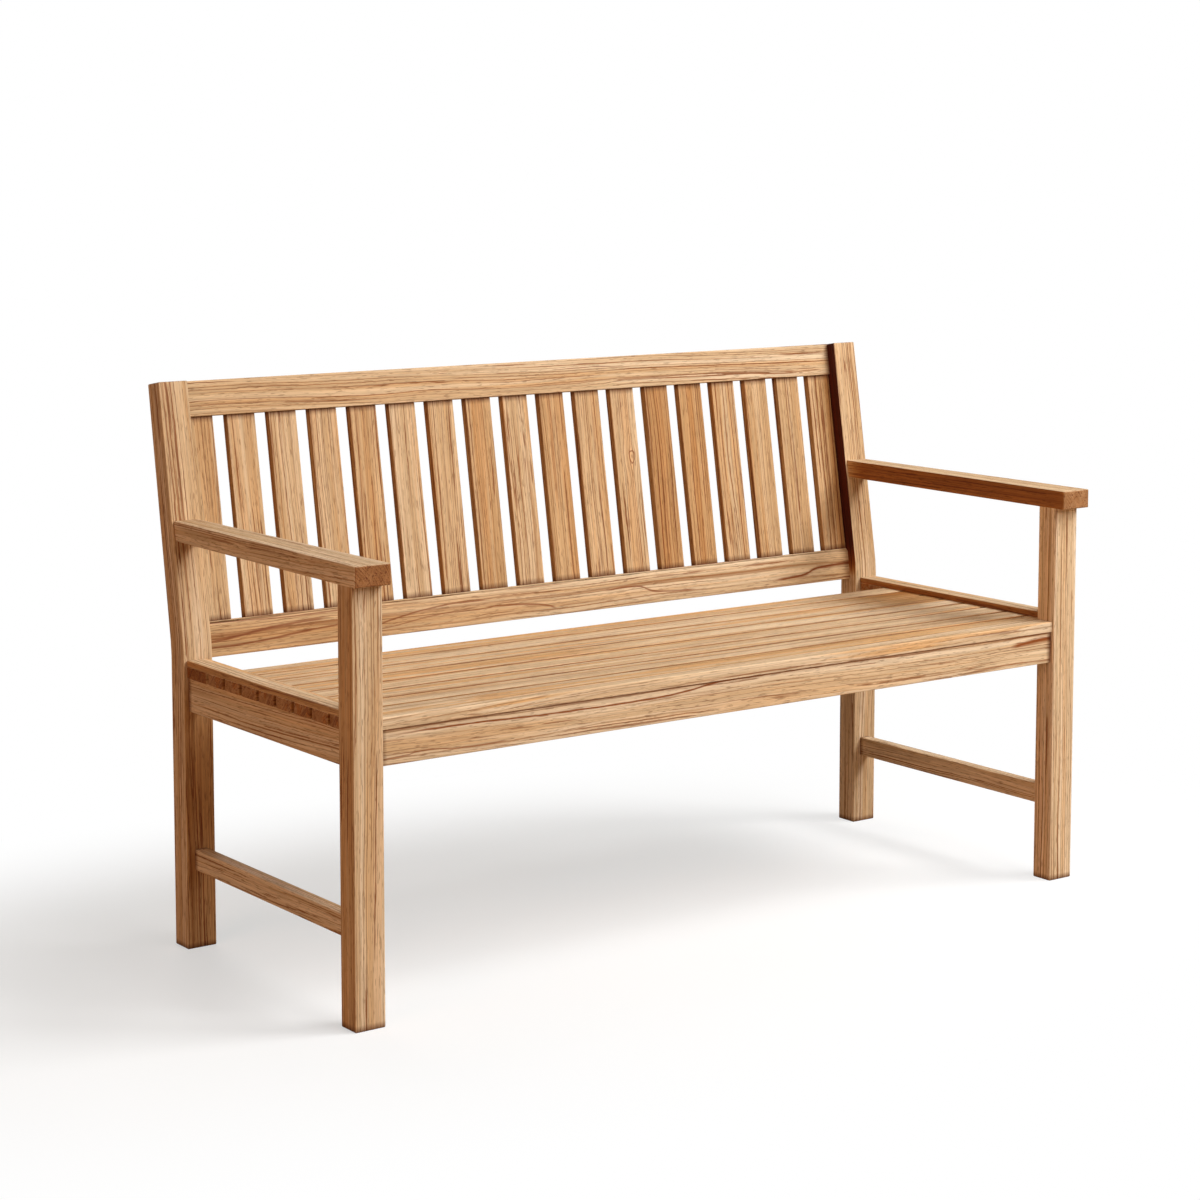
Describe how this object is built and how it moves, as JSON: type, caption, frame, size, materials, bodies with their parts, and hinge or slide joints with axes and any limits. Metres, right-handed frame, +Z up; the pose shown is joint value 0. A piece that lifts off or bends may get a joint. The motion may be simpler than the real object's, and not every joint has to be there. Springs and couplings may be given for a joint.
{
  "type": "slatted settle",
  "caption": "Wooden settle for several people, with a raked slatted back, open flat arms, a seat of lengthwise boards and low side stretchers.",
  "frame": {"origin": "on the floor under the middle of the whole settle", "axes": "+X along the settle to its right as seen from the front, +Y to its back, +Z up"},
  "size_m": [1.3938, 0.6107, 0.8568],
  "materials": {
    "frame_wood": "matte, oiled",
    "seat_wood": "matte, oiled",
    "arm_wood": "matte, oiled",
    "back_wood": "matte, oiled",
    "screw_steel": "zinc plated"
  },
  "bodies": {
    "root": {"front_leg_left": "frame_wood", "front_leg_right": "frame_wood", "back_post_left": "frame_wood", "back_post_right": "frame_wood", "front_apron": "frame_wood", "back_seat_rail": "frame_wood", "side_rail_left": "frame_wood", "side_rail_right": "frame_wood", "seat_bearer_left": "frame_wood", "seat_bearer_right": "frame_wood", "lower_stretcher_left": "frame_wood", "lower_stretcher_right": "frame_wood", "front_seat_board": "seat_wood", "seat_slat_1": "seat_wood", "seat_slat_2": "seat_wood", "seat_slat_3": "seat_wood", "seat_slat_4": "seat_wood", "seat_slat_5": "seat_wood", "seat_slat_6": "seat_wood", "seat_slat_7": "seat_wood", "seat_end_cap_left": "seat_wood", "seat_end_cap_right": "seat_wood", "cap_packing_left": "seat_wood", "cap_packing_right": "seat_wood", "arm_left": "arm_wood", "arm_right": "arm_wood", "top_back_rail": "back_wood", "lower_back_rail": "back_wood", "back_slat_01": "back_wood", "back_slat_02": "back_wood", "back_slat_03": "back_wood", "back_slat_04": "back_wood", "back_slat_05": "back_wood", "back_slat_06": "back_wood", "back_slat_07": "back_wood", "back_slat_08": "back_wood", "back_slat_09": "back_wood", "back_slat_10": "back_wood", "back_slat_11": "back_wood", "back_slat_12": "back_wood", "back_slat_13": "back_wood", "back_slat_14": "back_wood", "back_slat_15": "back_wood", "back_slat_16": "back_wood", "back_slat_17": "back_wood", "back_slat_18": "back_wood", "seat_end_screws": "screw_steel"}
  },
  "joints": []
}
